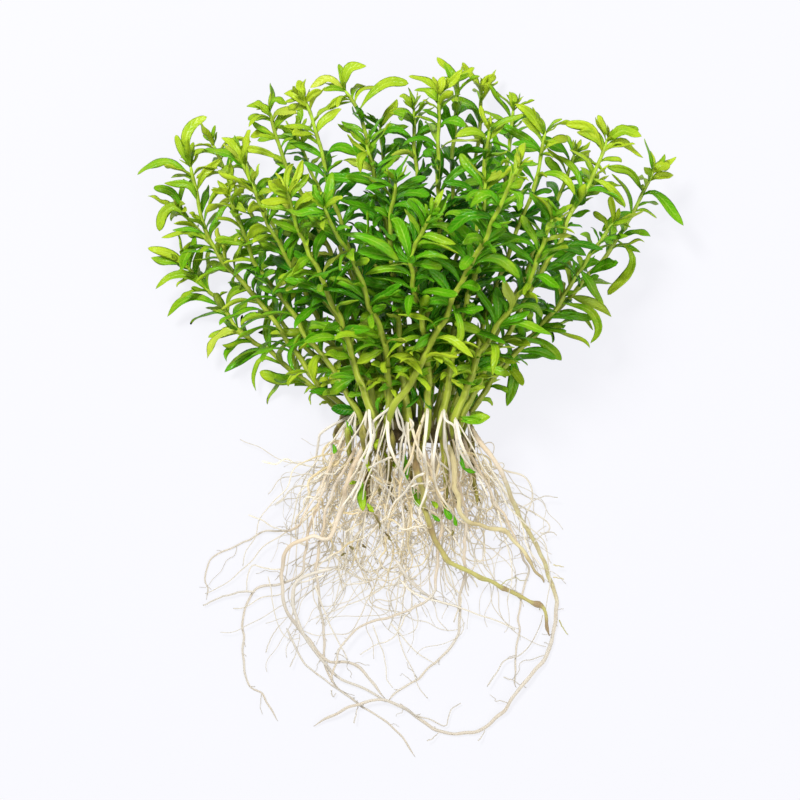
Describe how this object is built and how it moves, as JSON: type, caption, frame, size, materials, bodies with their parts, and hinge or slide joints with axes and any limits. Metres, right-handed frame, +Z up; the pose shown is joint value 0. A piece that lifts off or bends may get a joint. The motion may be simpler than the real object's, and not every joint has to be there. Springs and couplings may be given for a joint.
{
  "type": "limnophila",
  "caption": "Bare-root bunch of a green aquarium stem plant lying on its side, leafy shoots fanned out from one crown above a pale tangle of roots.",
  "frame": {"origin": "on the surface that the bunch lies on, below the middle of its box", "axes": "+Y from the root tips to the shoot tips, +Z up from the surface, +X to the right as seen from above with the shoots at the top"},
  "size_m": [0.1363, 0.1766, 0.0711],
  "materials": {
    "leaf_and_stem": "fresh green leaves and stems, softly glossy",
    "crown": "old olive-brown stem feet, matt and knobbly",
    "root": "cream-white living roots, moist and smooth",
    "runner": "olive-brown creeping stems, smooth",
    "root_hair": "fine cream rootlets"
  },
  "bodies": {
    "root": {"shoot_01": "leaf_and_stem", "shoot_02": "leaf_and_stem", "shoot_03": "leaf_and_stem", "shoot_04": "leaf_and_stem", "shoot_05": "leaf_and_stem", "shoot_06": "leaf_and_stem", "shoot_07": "leaf_and_stem", "shoot_08": "leaf_and_stem", "shoot_09": "leaf_and_stem", "shoot_10": "leaf_and_stem", "shoot_11": "leaf_and_stem", "shoot_12": "leaf_and_stem", "shoot_13": "leaf_and_stem", "shoot_14": "leaf_and_stem", "shoot_15": "leaf_and_stem", "shoot_16": "leaf_and_stem", "shoot_17": "leaf_and_stem", "shoot_18": "leaf_and_stem", "shoot_19": "leaf_and_stem", "shoot_20": "leaf_and_stem", "shoot_21": "leaf_and_stem", "shoot_22": "leaf_and_stem", "shoot_23": "leaf_and_stem", "shoot_24": "leaf_and_stem", "shoot_25": "leaf_and_stem", "shoot_26": "leaf_and_stem", "shoot_27": "leaf_and_stem", "shoot_28": "leaf_and_stem", "shoot_29": "leaf_and_stem", "shoot_30": "leaf_and_stem", "shoot_31": "leaf_and_stem", "shoot_32": "leaf_and_stem", "crown": "crown", "root_left_fork": "root", "root_left_far": "root", "root_bottom": "root", "root_left_loop": "root", "root_middle_arc": "root", "root_centre_arc": "root", "root_inner_right": "root", "root_right_loop": "root", "root_white_1": "root", "root_white_2": "root", "root_white_3": "root", "root_white_4": "root", "root_white_5": "root", "runner_lower": "runner", "runner_upper": "runner", "root_lock_1": "root_hair", "root_lock_2": "root_hair", "root_lock_3": "root_hair", "root_lock_4": "root_hair", "root_lock_5": "root_hair", "root_lock_6": "root_hair", "root_lock_7": "root_hair", "root_lock_8": "root_hair"}
  },
  "joints": []
}
